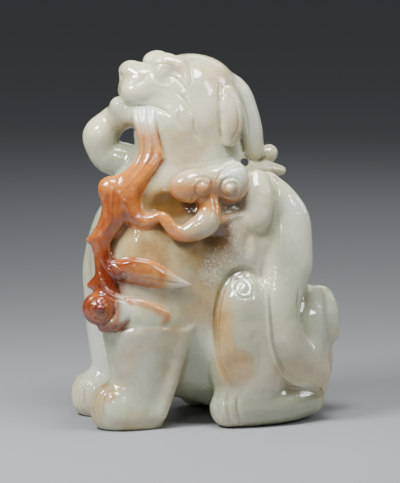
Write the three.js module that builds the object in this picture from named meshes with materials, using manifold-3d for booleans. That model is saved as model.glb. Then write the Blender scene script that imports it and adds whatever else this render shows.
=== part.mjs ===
// A seated mythical beast carved from one pebble of pale jade, chewing a spray of lingzhi fungus.
// Millimetres, +Z up, origin on the ground under the middle of the figure. The beast looks along -X,
// its left flank faces -Y, and the fungus, carved out of the pebble's russet skin, hangs down that side.
//
// The figure is modelled as a carver thinks of it: round lumps and tapering limbs that melt into each
// other, with hollows and lines cut in afterwards. Each lump is a function that gives the distance from
// a point to its surface (negative inside the stone). Marching cubes turns the whole into a mesh.
import * as THREE from "three";
import { MarchingCubes } from "three/addons/objects/MarchingCubes.js";
import { SimplifyModifier } from "three/addons/modifiers/SimplifyModifier.js";
import { mergeVertices } from "three/addons/utils/BufferGeometryUtils.js";
import Module from "manifold-3d";

// Driving sizes
const HEIGHT = 96; // ground to the top of the brows
const LEDGE = 26.2; // top of the near foreleg, where the fungus stands on it
const FOREPAW_OUT = 10.7; // middle of the body to the middle of a forepaw
const HAUNCH_OUT = 15.2; // middle of the body to the middle of a haunch
const BAND_OUT = 20; // middle of the body to the widest place of the band along the flank
const CENTRING = 0.83; // moves the finished figure along X, so that its box is centred on the origin

// Fineness of the mesh
const CELL = 0.6; // marching-cube cell
const BLOCK = 4; // cells along a block that is skipped when the surface is far from it
const FAR = 5; // how far the surface must be for that
const TRIANGLES = 9800; // kept after simplifying
const REACH = 8; // limbs further away than this answer roughly

// Shapes: each returns a function of a point p = [x, y, z]

/** An egg-shaped lump with three radii, turned by Euler angles in degrees. */
function ball(centre, radii, turn = [0, 0, 0]) {
  const euler = new THREE.Euler(...turn.map(THREE.MathUtils.degToRad));
  const m = new THREE.Matrix4().makeRotationFromEuler(euler).elements;
  const [a, b, c] = radii;
  return ([px, py, pz]) => {
    const x = px - centre[0];
    const y = py - centre[1];
    const z = pz - centre[2];
    const u = (m[0] * x + m[1] * y + m[2] * z) / a;
    const v = (m[4] * x + m[5] * y + m[6] * z) / b;
    const w = (m[8] * x + m[9] * y + m[10] * z) / c;
    const k = Math.hypot(u, v, w);
    return (k * (k - 1)) / (Math.hypot(u / a, v / b, w / c) + 1e-9);
  };
}

/** A limb whose thickness runs smoothly through the given stations, each [x, y, z, radius].
 *  flat squashes it: [nx, ny, nz, share] makes it share times as thick along that direction. */
function limb(stations, { flat = [0, 1, 0, 1], steps = 4 } = {}) {
  const path = new THREE.CatmullRomCurve3(
    stations.map(([x, y, z]) => new THREE.Vector3(x, y, z)),
    false,
    "centripetal",
  );
  const spans = (stations.length - 1) * steps;
  const across = new THREE.Vector3(flat[0], flat[1], flat[2]).normalize();
  const stretch = 1 / flat[3] - 1;
  const wide = ([x, y, z]) => {
    const along = (across.x * x + across.y * y + across.z * z) * stretch;
    return [x + across.x * along, y + across.y * along, z + across.z * along];
  };
  const box = new THREE.Box3();
  const beads = [];
  for (let i = 0; i <= spans; i++) {
    const at = Math.min(Math.floor(i / steps), stations.length - 2);
    const share = i / steps - at;
    const radius = THREE.MathUtils.lerp(stations[at][3], stations[at + 1][3], share);
    const bead = path.getPoint(i / spans);
    box.union(new THREE.Box3().setFromCenterAndSize(bead, new THREE.Vector3().setScalar(2 * radius)));
    beads.push([...wide(bead.toArray()), radius]);
  }
  box.expandByScalar(Math.max(0, flat[3] - 1) * stations[0][3]);
  const spot = new THREE.Vector3();
  return (p) => {
    const gap = box.distanceToPoint(spot.set(...p));
    if (gap > REACH) return gap;
    const [px, py, pz] = wide(p);
    let nearest = Infinity;
    for (let i = 0; i < spans; i++) {
      nearest = Math.min(nearest, coneGap(px, py, pz, beads[i], beads[i + 1]));
    }
    return nearest;
  };
}

/** Distance from a point to the skin round two balls [x, y, z, radius]. */
function coneGap(px, py, pz, [ax, ay, az, ar], [bx, by, bz, br]) {
  const dx = bx - ax;
  const dy = by - ay;
  const dz = bz - az;
  const length = Math.hypot(dx, dy, dz);
  const slope = THREE.MathUtils.clamp((br - ar) / length, -0.9, 0.9);
  const along = ((px - ax) * dx + (py - ay) * dy + (pz - az) * dz) / length;
  const off2 = (px - ax) ** 2 + (py - ay) ** 2 + (pz - az) ** 2 - along * along;
  const off = Math.sqrt(Math.max(off2, 0));
  const foot = THREE.MathUtils.clamp(along + (off * slope) / Math.sqrt(1 - slope * slope), 0, length);
  return Math.hypot(off, along - foot) - ar - ((br - ar) * foot) / length;
}

/** Joins shapes so that they melt into each other over about softness millimetres. */
function melt(softness, ...shapes) {
  return (p) => {
    let d = shapes[0](p);
    for (let i = 1; i < shapes.length; i++) {
      const other = shapes[i](p);
      const overlap = Math.max(softness - Math.abs(d - other), 0) / softness;
      d = Math.min(d, other) - (overlap * overlap * softness) / 4;
    }
    return d;
  };
}

/** Cuts tools out of a shape, with edges rounded over about softness millimetres. */
function cut(softness, shape, ...tools) {
  return (p) => {
    let d = shape(p);
    for (const tool of tools) {
      const other = -tool(p);
      const overlap = Math.max(softness - Math.abs(d - other), 0) / softness;
      d = Math.max(d, other) + (overlap * overlap * softness) / 4;
    }
    return d;
  };
}

/** The same shape on both flanks; it is written for the near one, at -Y. */
const both = (shape) => (p) => shape([p[0], -Math.abs(p[1]), p[2]]);

/** The shape moved over to the far flank. */
const far = (shape) => (p) => shape([p[0], -p[1], p[2]]);

/** The wheel's path for a line pencilled on the near flank of a shape as [x, z] points: each point is
 *  dropped onto the stone along Y, and the wheel stands out of it so far that it cuts depth deep. */
function wheel(shape, width, depth, pencilled) {
  const pencil = new THREE.CatmullRomCurve3(
    pencilled.map(([x, z]) => new THREE.Vector3(x, 0, z)),
    false,
    "centripetal",
  );
  const step = 0.05;
  const stations = pencil.getPoints((pencilled.length - 1) * 3).map(({ x, z }) => {
    let y = -30;
    for (let i = 0; i < 60; i++) y += 0.6 * shape([x, y, z]);
    const normal = new THREE.Vector3(
      shape([x + step, y, z]) - shape([x - step, y, z]),
      shape([x, y + step, z]) - shape([x, y - step, z]),
      shape([x, y, z + step]) - shape([x, y, z - step]),
    ).normalize();
    return [...normal.multiplyScalar(width / 2 - depth).add(new THREE.Vector3(x, y, z)).toArray(), width / 2];
  });
  return limb(stations, { steps: 1 });
}

/** A coil pencilled as [x, z] points: it starts at the angle from, in degrees, and winds in from the
 *  outer radius to the inner one, clockwise as the near flank is seen. */
function coil([x, z], outer, inner, from, turns) {
  const steps = Math.round(Math.abs(turns) * 8);
  return Array.from({ length: steps + 1 }, (_, i) => {
    const angle = THREE.MathUtils.degToRad(from - (360 * turns * i) / steps);
    const radius = THREE.MathUtils.lerp(outer, inner, i / steps);
    return [x + radius * Math.cos(angle), z + radius * Math.sin(angle)];
  });
}

// Trunk: chest, belly and rump in one flowing mass, and the neck rising out of it
const masses = melt(
  7,
  ball([-13, 0, 40], [17.8, 17.5, 22]), // chest
  ball([-2, 0, 28], [18, 17, 21.5]), // belly
  ball([7, 0, 46], [16.8, 15.5, 17.5]), // withers
  ball([12.5, 0, 20], [20, 19, 21]), // rump
  limb([[-1, 0, 54, 16], [-3, 0, 66, 12.5], [-4.5, 0, 76, 12]]), // neck
  limb([[-12, -2, 76.2, 7.3], [-15, -3, 68.1, 7.9], [-18.1, -4, 59.3, 8.9]]), // throat, behind the stem
);
const underbelly = limb([[-11.9, 0, 16.2, 9.9], [-1.9, 0, 15.5, 9.7], [11.7, 0, 14.4, 9.4]], {
  flat: [0, 1, 0, 1.25],
});
const shoulder = ball([-17, -9.5, 38], [13.8, 8, 14]);
const breast = ball([-20.5, -7.5, 44], [9, 8.5, 15]);

// Forelegs: the far one runs up into the shoulder, the near one ends in a ledge under the fungus
const nearLeg = cut(
  0.9,
  limb(
    [
      [-18.5, -11.5, 31.5, 13.4],
      [-18.5, -11.3, 23.9, 11.8],
      [-19.2, -FOREPAW_OUT, 14.8, 9.4],
      [-20.5, -FOREPAW_OUT, 5.8, 7.2],
      [-21.6, -FOREPAW_OUT, -0.7, 5.9],
    ],
    { flat: [0, 1, 0, 0.68] },
  ),
  (p) => LEDGE - p[2],
);
const farLeg = limb(
  [
    [-17.6, -9, 36.5, 11.5],
    [-18.2, -10.5, 29, 12],
    [-18.7, -11.3, 22.7, 10.7],
    [-19.5, -FOREPAW_OUT, 14.9, 8.9],
    [-20.5, -FOREPAW_OUT, 5.8, 7.2],
    [-21.6, -FOREPAW_OUT, -0.7, 5.9],
  ],
  { flat: [0, 1, 0, 0.68] },
);
const forepaw = melt(
  1.5,
  ball([-27.4, -FOREPAW_OUT, 5.6], [6.4, 6.4, 6.4]),
  ball([-24.5, -FOREPAW_OUT, 3.6], [8.4, 6.6, 5.2]),
);

// Hind legs: haunch with its knee, and the long foot
const haunch = ball([6.4, -HAUNCH_OUT, 20], [10.8, 7.2, 19]);
const knee = ball([5, -HAUNCH_OUT + 0.7, 31.2], [6.6, 6.6, 7]);
const foot = limb([[1.4, -16.3, 4.9, 4.9], [7, -16.3, 4.8, 4.8], [17, -14.3, 4.9, 4.7], [24, -10, 5.6, 4.8]]);

// Mane: a flap behind the shoulder, a plume over the withers, and the broad band that runs from
// under the plume down the flank to the heel
const flap = limb([[10.2, -12.5, 61.2, 3.7], [9.4, -15.2, 56.3, 3.8], [8.9, -17, 52.9, 3.5]], {
  flat: [0, 1, 0, 0.6],
});
const plume = limb(
  [
    [14.4, -9, 60.2, 3.4],
    [17.3, -12, 54.7, 4.3],
    [18.6, -14, 47.6, 4.3],
    [19.3, -14.5, 43.5, 3.4],
    [20.7, -13.5, 41, 1.8],
  ],
  { flat: [0, 1, 0, 0.6] },
);
const band = limb(
  [
    [15.4, -12, 53.2, 2.1],
    [15.3, -16.2, 45.4, 3.4],
    [15.2, -19.4, 35.5, 4.6],
    [15.6, -BAND_OUT, 23.9, 5],
    [18.6, -18, 15.4, 4.7],
    [23.8, -13.5, 10.8, 3.1],
  ],
  { flat: [0, 1, 0, 0.58] },
);

// Tail: a fat hook curling over behind the rump, its root on the near side
const tail = melt(
  0.6,
  limb([[25.2, -6, 13.5, 3.1], [25.1, -7, 21.6, 3.1], [25.4, -7, 28.7, 2.9], [27.3, -5, 31.2, 2.6]]),
  limb([[28, -2, 30, 3.1], [30.4, -2, 30.7, 3.1], [31.8, -3, 26.8, 3.3], [32.1, -3, 21.5, 3.1]], {
    flat: [0, 1, 0, 1.2],
  }),
);
const buttock = limb([[30.9, 2, 21.3, 3.1], [32, 2, 13.3, 2.9], [29.8, 0, 7, 3.1]]);

// Head: raised, with a blunt muzzle, brows that sweep back, flat ears and one lock down the nape
const skull = melt(
  5,
  ball([-3.8, 0, 81.6], [12.3, 12, 12.4]), // braincase
  ball([-5.6, 0, 88.3], [10.2, 8.2, 5.4]), // crown
  ball([-9.4, 0, 77], [9, 9.8, 8.4]), // jaw
  ball([-16.3, 0, 87], [7, 6.6, 5.8]), // muzzle
);
const blunt = melt(
  1.6,
  skull,
  ball([-19.7, 0, 90.7], [3, 4, 2.9]), // nose
  both(ball([-18.4, -3.2, 90.1], [2, 1.8, 1.7])), // nostril wings
  both(ball([-11.6, -4.4, 92.9], [3.4, 3, 3])), // brows
  both(ball([-19.5, -3.4, 85.8], [3.8, 3.6, 3.6])), // lips
);
const face = melt(
  0.8,
  blunt,
  both(ball([-13.4, -6.2, 91], [2.3, 2.2, 2.3])), // eyes
  both(
    limb([
      [-12.3, -5.2, 93.5, 1.8],
      [-9.2, -6.5, 92.5, 2],
      [-7.6, -8.3, 89.5, 1.3],
      [-8.3, -10, 86.1, 0.7],
    ]),
  ), // ends of the brows
);
const ear = limb([[3, -11.3, 84.4, 2.1], [3.6, -12.2, 80.6, 3], [3.7, -11.6, 76.2, 2.6]], {
  flat: [0, 1, 0, 0.45],
});
const lock = limb(
  [
    [-0.6, 0, 88.7, 3.7],
    [4.5, 0, 87.3, 3.4],
    [8, 0, 84.7, 3.4],
    [10.2, 0, 79.7, 3.3],
    [11.6, 0, 75, 3.1],
    [12.6, 0, 69.7, 2.6],
  ],
  { flat: [0, 1, 0, 1.4] },
);
const bead = ball([16.7, 0, 68.8], [2.3, 2.6, 2.3]);
const tie = limb([[11.6, 0, 65, 2.4], [15.6, 0, 64.9, 2.4], [19.7, 0, 64.8, 1.2]], { flat: [0, 1, 0, 1.6] });

// Fungus: the stem is bitten crosswise; one end loops out of the far side of the mouth, the other
// hangs down the near side in three strands and spreads over the chest
const loop = melt(
  2,
  limb([
    [-18.6, -3, 80.1, 3.4],
    [-21.1, 2, 79.7, 3.8],
    [-24.4, 5, 77.2, 3.8],
    [-26.9, 5.5, 73.6, 4.3],
    [-25.5, 5, 68.9, 4.2],
    [-21.7, 4, 67.6, 4.7],
    [-17.4, 2, 66.1, 5],
  ]),
  ball([-26.9, 5.5, 73.8], [4.3, 4.3, 4.3]),
);
const strand = (dx) =>
  limb([
    [-17.9 + dx, -7.5, 81.7, 1.2],
    [-17.8 + dx, -8.7, 78.3, 1.2],
    [-17.5 + dx, -9.7, 74.4, 1.2],
    [-18.2 + dx * 1.1, -10.5, 70.9, 1.3],
    [-20.3 + dx * 1.2, -11, 68.2, 1.5],
    [-23.3 + dx * 1.2, -11.5, 65.3, 1.6],
    [-26.4 + dx, -11.2, 62.1, 2],
  ]);
const stem = melt(
  0.6,
  strand(-1.8),
  strand(0),
  strand(1.8),
  limb([[-16.5, -10, 71.9, 1.3], [-13.8, -11, 69.6, 0.7]]), // spur
);
const branch = limb(
  [
    [-28.2, -11.8, 62.2, 3.1],
    [-26.5, -12.3, 58.4, 3.9],
    [-28.5, -12.8, 53.9, 3],
    [-31.3, -12.7, 49.1, 2.7],
    [-31, -13.2, 43.5, 2.4],
    [-31.1, -13.7, 38.9, 2.4],
    [-30.3, -14.7, 34.4, 2.9],
  ],
  { flat: [0, 1, 0, 0.9] },
);
const knobs = [
  limb([[-31.6, -12.5, 49.3, 2.2], [-34.3, -12, 49.1, 0.8]]),
  limb([[-32, -13, 37.9, 2.2], [-34.2, -12.5, 37.6, 0.8]]),
];
const twig = limb(
  [
    [-25.9, -12.8, 57.6, 3.7],
    [-22.2, -14, 54.3, 2.5],
    [-19.2, -15.3, 53.9, 2.1],
    [-16.3, -16.5, 54.9, 1.7],
    [-14.2, -17.5, 52.4, 2.4],
    [-11.5, -18.2, 50.9, 2.4],
    [-8, -18.8, 52.1, 3],
    [-4.8, -18.6, 53.5, 3.4],
    [-3, -18, 57, 2.9],
  ],
  { flat: [0, 1, 0, 0.85] },
);
const cap = melt(
  1.2,
  ball([-7.2, -16.8, 62.4], [6.4, 3.6, 4.2]),
  ball([2.3, -16, 63.6], [4.9, 3.6, 5.2]),
  ball([-2.4, -15.6, 62.9], [5.5, 3, 4.2]),
);
const scroll = melt(
  1,
  ball([-32.2, -14.8, 31.7], [4.7, 3.6, 4.9]),
  limb([[-30.2, -15.4, 29.4, 2.9], [-27.2, -16, 30.1, 2.9]], { flat: [0, 1, 0, 0.8] }),
);
const upperLeaf = limb(
  [
    [-28.9, -14.5, 40.8, 2.4],
    [-23.8, -17.2, 40.9, 3.9],
    [-18.2, -18.6, 40.4, 3.8],
    [-13.6, -19.2, 39.1, 2.4],
    [-9.6, -19, 37.6, 0.4],
  ],
  { flat: [0, 1, 0, 0.5] },
);
const lowerLeaf = limb(
  [
    [-28.2, -15.5, 31.9, 2.4],
    [-24, -17.6, 30.8, 3.7],
    [-19.5, -18.6, 30.2, 2.9],
    [-16.1, -18.8, 29.6, 1.4],
  ],
  { flat: [0, 1, 0, 0.5] },
);
const fungus = melt(1, stem, branch, ...knobs, twig, cap, scroll, upperLeaf, lowerLeaf, loop);

// The lumps put together, and the two hollows cut under the cap and the twig
const trunk = melt(3, melt(4, masses, underbelly), both(shoulder), both(breast), far(farLeg));
const legged = melt(1.6, trunk, nearLeg, both(knee), both(haunch));
const pawed = melt(1, legged, both(forepaw), both(flap), buttock);
const maned = melt(0.8, pawed, both(foot), both(band), both(plume), tail);
const hollowed = cut(
  1.5,
  melt(3.5, maned, face),
  ball([-16.2, -19, 58.8], [7.5, 5.5, 4.5], [0, -10, 0]),
  ball([-4.1, -20, 50.1], [4.5, 4, 3]),
);

// The mouth is cut before the stem goes through it; the other lines that show from a step away come last
const mouth = wheel(hollowed, 1.4, 0.8, [
  [-22.6, 83.3],
  [-20, 82.6],
  [-16.9, 82.3],
  [-14.5, 81.6],
  [-12.6, 79.9],
  [-11.4, 77.6],
]);
const bitten = cut(0.3, hollowed, both(mouth));
const rough = melt(0.7, bitten, both(ear), lock, bead, tie, fungus);
const thigh = wheel(rough, 1.6, 0.8, [
  [0.9, 10.8],
  [-2.1, 16],
  [-3.3, 21.8],
  [-3.2, 28.2],
  [-1.5, 34],
  [1.4, 38.1],
  [4.7, 40.3],
  ...coil([5.3, 36.8], 3.9, 2.4, 50, 0.9),
]);
const earFront = wheel(rough, 1.2, 0.6, [
  [0.5, 87.9],
  [0.1, 83.9],
  [-0.1, 79.4],
  [0.3, 75.5],
  [1.5, 72.6],
]);
const slit = wheel(rough, 1.4, 1, [
  [-31.9, 46.8],
  [-30.4, 43.5],
  [-28.5, 41.1],
  [-25.8, 39.7],
]);
const scrollCoil = wheel(rough, 1.2, 0.7, coil([-32.9, 32.4], 3.9, 2.2, 40, 0.9));
const capCoils = [
  wheel(rough, 1.2, 0.7, coil([-6.5, 62.4], 3.4, 1.9, 160, 0.8)),
  wheel(rough, 1.2, 0.7, coil([1.2, 62.1], 3.1, 1.8, 20, -0.8)),
];
const underground = (p) => p[2] + 2;
const beast = cut(0.3, rough, underground, both(thigh), both(earFront), slit, scrollCoil, ...capCoils);

/** Meshes a shape: samples it in a cube round the figure and runs marching cubes through the samples. */
async function carve(shape, reach, middle) {
  const blocks = Math.ceil((2 * reach) / CELL / BLOCK);
  const samples = blocks * BLOCK;
  const grid = new MarchingCubes(samples, undefined, false, false, 400000);
  grid.isolation = 0;
  const half = grid.halfsize;
  const place = (...cell) => cell.map((steps, axis) => (steps - half) * CELL + middle[axis]);
  for (let block = 0; block < blocks ** 3; block++) {
    const i0 = (block % blocks) * BLOCK;
    const j0 = (Math.floor(block / blocks) % blocks) * BLOCK;
    const k0 = Math.floor(block / blocks ** 2) * BLOCK;
    const middleGap = shape(place(i0 + BLOCK / 2, j0 + BLOCK / 2, k0 + BLOCK / 2));
    const skipped = Math.abs(middleGap) > FAR;
    for (let n = 0; n < BLOCK ** 3; n++) {
      const i = i0 + (n % BLOCK);
      const j = j0 + (Math.floor(n / BLOCK) % BLOCK);
      const k = k0 + Math.floor(n / BLOCK ** 2);
      grid.setCell(i, j, k, skipped ? -middleGap : -shape(place(i, j, k)));
    }
  }
  grid.update();
  const corners = grid.positionArray.slice(0, grid.count * 3);
  const cells = new THREE.BufferGeometry().setAttribute("position", new THREE.BufferAttribute(corners, 3));
  cells.scale(half * CELL, half * CELL, half * CELL);
  cells.translate(...middle);
  return mergeVertices(cells, CELL / 1000);
}

const fine = await carve(beast, HEIGHT / 2 + 4, [0, 0.05, HEIGHT / 2]);
const share = 1 - TRIANGLES / (fine.index.count / 3);
const coarse = await new SimplifyModifier().modify(fine, Math.round(fine.attributes.position.count * share));

// The ground cuts the underside flat
const wasm = await Module();
wasm.setup();
const solidOf = (geometry) =>
  new wasm.Manifold(
    new wasm.Mesh({
      numProp: 3,
      vertProperties: geometry.attributes.position.array,
      triVerts: new Uint32Array(geometry.index.array),
    }),
  );
const ground = new THREE.BoxGeometry(2 * HEIGHT, 2 * HEIGHT, HEIGHT).translate(0, 0, -HEIGHT / 2);
ground.deleteAttribute("normal");
ground.deleteAttribute("uv");
const carved = solidOf(coarse).subtract(solidOf(mergeVertices(ground))).getMesh();
const geometry = new THREE.BufferGeometry()
  .setAttribute("position", new THREE.BufferAttribute(carved.vertProperties, 3))
  .setIndex(new THREE.BufferAttribute(carved.triVerts, 1));
geometry.translate(CENTRING, 0, 0);
geometry.computeVertexNormals();

const jade = new THREE.MeshStandardMaterial({ color: 0xcfd2bf, roughness: 0.25, metalness: 0 });
const figure = new THREE.Mesh(geometry, jade);
figure.name = "jade_beast";

const part = new THREE.Group();
part.name = "jade_mythical_beast";
part.add(figure);

export default part;
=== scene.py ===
# %% [markdown]
# # A beast carved from one pebble of jade
# The real object is a single pebble of pale nephrite, 96 mm high. The carver turned the pebble's russet
# skin into a spray of lingzhi fungus, and everything else into a seated beast that bites on its stem.
# Jade is too hard to cut with a blade. It is ground away with wheels and wet grit, and then polished for
# weeks, so it has no sharp edge anywhere. Round lumps flow into each other, and the only crisp things
# are the lines that a thin wheel left. We follow the same order: block in, melt together, engrave, polish.

# %% Load the frame
import math
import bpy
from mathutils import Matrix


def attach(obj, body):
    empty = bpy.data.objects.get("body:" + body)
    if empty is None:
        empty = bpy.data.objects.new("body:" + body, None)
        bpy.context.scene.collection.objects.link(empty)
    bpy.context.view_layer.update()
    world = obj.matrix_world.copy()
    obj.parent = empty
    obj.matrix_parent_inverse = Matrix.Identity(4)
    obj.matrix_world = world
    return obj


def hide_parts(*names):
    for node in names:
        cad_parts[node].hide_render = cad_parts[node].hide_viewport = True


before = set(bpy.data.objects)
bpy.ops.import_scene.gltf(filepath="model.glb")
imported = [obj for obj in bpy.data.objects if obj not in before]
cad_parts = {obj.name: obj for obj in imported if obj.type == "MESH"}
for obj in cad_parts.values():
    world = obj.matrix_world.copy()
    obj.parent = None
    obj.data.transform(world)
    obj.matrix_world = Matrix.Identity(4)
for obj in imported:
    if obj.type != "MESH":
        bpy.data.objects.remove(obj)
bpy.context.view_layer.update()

from concurrent.futures import ThreadPoolExecutor
from functools import partial

import bpy
import numpy as np
from mathutils import Euler, Matrix, Vector

# %% [markdown]
# ## Camera, floor and lights
# The camera looks at the beast's left flank, turned a little towards its face, from just above the
# table, with a long lens as in a catalogue. The floor is a plain pale table. Polished stone shows the
# lamps themselves, so their shapes matter more than their strength: a broad window of light up on the
# left, two tall strips on the right, a soft one overhead, a small one in front for glints, and a large
# one behind the figure.

# %% Camera
MM = 0.001
CENTRING = 0.83 * MM  # the figure's box is centred on the origin; the sizes below are from its own axis
CAMERA_AZIMUTH = math.radians(-15)
CAMERA_ELEVATION = math.radians(7.2)
CAMERA_DISTANCE = 0.9
FRAME_HEIGHT = 126.4 * MM  # what the picture takes in, at the figure
LOOK_AT = Vector((-0.3 * MM + CENTRING, 6.0 * MM, 45.4 * MM))
SENSOR = 36.0


def direction(azimuth, elevation):
    """The unit vector from the figure towards something seen at these angles."""
    across = math.cos(elevation)
    return Vector((math.sin(azimuth) * across, -math.cos(azimuth) * across, math.sin(elevation)))


def aim(thing, place, target):
    thing.location = place
    thing.rotation_euler = (target - place).to_track_quat("-Z", "Y").to_euler()


bpy.ops.object.select_all(action="DESELECT")
bpy.ops.object.camera_add()
camera = bpy.context.object
camera.data.sensor_width = SENSOR
camera.data.lens = SENSOR * CAMERA_DISTANCE / FRAME_HEIGHT
camera.data.clip_start = 0.05
camera.data.clip_end = 20
aim(camera, LOOK_AT + CAMERA_DISTANCE * direction(CAMERA_AZIMUTH, CAMERA_ELEVATION), LOOK_AT)
bpy.context.scene.camera = camera
print("lens, mm:", round(camera.data.lens))

# %% Floor and light
TABLE_RADIUS = 6
TABLE_COLOUR = (0.31, 0.32, 0.335, 1)
TABLE_ROUGHNESS = 0.7
ROOM_COLOUR = (0.60, 0.62, 0.65, 1)
ROOM_STRENGTH = 0.15  # light from all round


def set_all_over(shader, values):
    for name, value in values.items():
        shader.inputs[name].default_value = value


def lamp(name, azimuth, elevation, distance, size, watts):
    """A soft box of light, size wide and high in metres, that faces the figure."""
    bpy.ops.object.light_add(type="AREA")
    box = bpy.context.object
    box.name = name
    box.data.shape = "RECTANGLE"
    box.data.size, box.data.size_y = size
    box.data.energy = watts
    aim(box, LOOK_AT + distance * direction(math.radians(azimuth), math.radians(elevation)), LOOK_AT)


bpy.ops.mesh.primitive_circle_add(vertices=96, radius=TABLE_RADIUS, fill_type="NGON")
floor = bpy.context.object
floor.name = "floor"
pale = bpy.data.materials.new("pale table")
pale.use_nodes = True
table_look = {"Base Color": TABLE_COLOUR, "Roughness": TABLE_ROUGHNESS}
set_all_over(pale.node_tree.nodes["Principled BSDF"], table_look)
floor.data.materials.append(pale)

lamp("window", -60, 44, 0.29, (0.085, 0.065), 1.3)
lamp("tall strip", 34, 34, 0.55, (0.035, 0.11), 0.34)
lamp("overhead", 0, 68, 0.19, (0.075, 0.055), 0.44)
lamp("right strip", 80, 28, 0.50, (0.05, 0.16), 0.42)
lamp("front glint", -25, 30, 0.80, (0.05, 0.04), 0.56)
lamp("from behind", 150, 36, 0.60, (0.30, 0.20), 0.5)

world = bpy.data.worlds.new("studio")
bpy.context.scene.world = world
world.use_nodes = True
set_all_over(world.node_tree.nodes["Background"], {"Color": ROOM_COLOUR, "Strength": ROOM_STRENGTH})

# %% [markdown]
# ## How a lump of stone is described
# A polished lump is easiest to hold as a distance: a function that says how far a point is from its
# surface, below zero inside. Two lumps melt into each other when their distances are blended where they
# are nearly equal, and the width of that blend is how softly the wheel went over the joint. Blender's
# own tools can block the lumps in and remesh them, but they round every joint alike, so the distances
# tell the remeshed skin where it has to lie. Besides two flat planes there are only two kinds of lump.
# A ball is an egg with three radii. A limb is a rope of stations, each a place and a radius, with a
# smooth path between them.
# Sizes are millimetres, the beast looks along -X, its near flank faces -Y, and the table is z = 0.

# %% Lumps


class Lump:
    """A form in the stone: its distance function, the box it lies in, and the balls that block it in."""

    def __init__(self, exact, low, high, balls=(), reach=8.0):
        self.exact = exact
        self.low = np.array(low, float)
        self.high = np.array(high, float)
        self.balls = list(balls)
        self.reach = reach

    def __call__(self, points):
        """Distances from the points. Those further from the box than reach get a rough answer, and
        where all of them are, it is one number."""
        apart = length(np.maximum(0.0, np.maximum(self.low - points.max(0), points.min(0) - self.high)))
        if apart > self.reach:
            return apart
        gap = length(np.maximum(0.0, np.maximum(self.low - points, points - self.high)))
        near = gap < self.reach
        if near.all():
            return self.exact(points)
        if near.any():
            gap[near] = self.exact(points[near])
        return gap


def length(vectors):
    return np.sqrt(np.einsum("...i,...i->...", vectors, vectors))


def ball(centre, radii, turn=0.0, reach=8.0):
    """An egg, turned about Y by an angle in degrees."""
    centre = np.array(centre, float)
    radii = np.array(radii, float)
    axes = np.array(Euler((0.0, math.radians(turn), 0.0)).to_matrix())

    def exact(points):
        scaled = (points - centre) @ axes / radii
        size = length(scaled)
        return size * (size - 1.0) / (length(scaled / radii) + 1e-9)

    extent = np.sqrt(((axes * radii) ** 2).sum(1))
    return Lump(exact, centre - extent, centre + extent, [(centre, radii, turn)], reach)


def smooth_path(stations, count):
    """Points along a smooth curve through the stations, as evenly bent as a wire laid by hand."""
    stations = np.array(stations, float)
    first = 2 * stations[0] - stations[1]
    last = 2 * stations[-1] - stations[-2]
    knots = np.vstack([first, stations, last])
    path = []
    for i in range(count + 1):
        place = i / count * (len(stations) - 1)
        span = min(int(place), len(stations) - 2)
        t = place - span
        a, b, c, d = knots[span : span + 4]
        before, within, after = (np.linalg.norm(q - p) ** 0.5 + 1e-6 for p, q in ((a, b), (b, c), (c, d)))
        leave = ((b - a) / before - (c - a) / (before + within) + (c - b) / within) * within
        reach = ((c - b) / within - (d - b) / (within + after) + (d - c) / after) * within
        early = 3 * (c - b) - 2 * leave - reach
        late = 2 * (b - c) + leave + reach
        path.append(b + leave * t + early * t**2 + late * t**3)
    return np.array(path)


def limb(*stations, thick=1.0, steps=4, reach=8.0):
    """A rope through stations (x, y, z, radius), thick times as deep along Y as it is wide."""
    stations = np.array(stations, float)
    spans = (len(stations) - 1) * steps
    path = smooth_path(stations[:, :3], spans)
    radii = np.interp(np.arange(spans + 1) / steps, np.arange(len(stations)), stations[:, 3])
    squash = np.array([1.0, 1.0 / thick, 1.0])
    beads = path * squash
    starts = beads[:-1]
    spans_long = length(np.diff(beads, axis=0))
    axes = np.diff(beads, axis=0) / spans_long[:, None]
    taper = np.clip(np.diff(radii) / spans_long, -0.9, 0.9)
    lean = taper / np.sqrt(1 - taper**2)
    starts_along = np.einsum("ij,ij->i", starts, axes)
    starts_size = np.einsum("ij,ij->i", starts, starts)

    def exact(points):
        points = points * squash
        sizes = np.einsum("ij,ij->i", points, points)[:, None]
        along = points @ axes.T - starts_along
        off = np.sqrt(np.maximum(sizes - 2 * points @ starts.T + starts_size - along**2, 0.0))
        foot = np.clip(along + off * lean, 0.0, spans_long)
        return (np.sqrt(off**2 + (along - foot) ** 2) - radii[:-1] - taper * foot).min(1)

    width = radii[:, None] * np.array([1.0, max(1.0, thick), 1.0])
    balls = [(place, (r, r * thick, r), 0.0) for place, r in zip(path, radii)]
    return Lump(exact, (path - width).min(0), (path + width).max(0), balls, reach)


def melt(softness, *lumps):
    """Joins lumps so that they flow into each other over about softness millimetres."""

    def exact(points):
        distance = lumps[0](points)
        for lump in lumps[1:]:
            other = lump(points)
            if np.ndim(other) == 0:
                distance = np.minimum(distance, other)
                continue
            overlap = np.maximum(softness - np.abs(distance - other), 0.0) / softness
            distance = np.minimum(distance, other) - overlap**2 * softness / 4
        return distance

    low = np.min([lump.low for lump in lumps], 0) - softness / 4
    high = np.max([lump.high for lump in lumps], 0) + softness / 4
    return Lump(exact, low, high, [b for lump in lumps for b in lump.balls])


def cut(softness, lump, *tools):
    """Grinds tools out of a lump, with the edges rounded over about softness millimetres."""

    def exact(points):
        distance = lump(points)
        for tool in tools:
            other = -tool(points)
            if np.ndim(other) == 0:
                continue
            overlap = np.maximum(softness - np.abs(distance - other), 0.0) / softness
            distance = np.maximum(distance, other) + overlap**2 * softness / 4
        return distance

    return Lump(exact, lump.low, lump.high, lump.balls)


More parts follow.
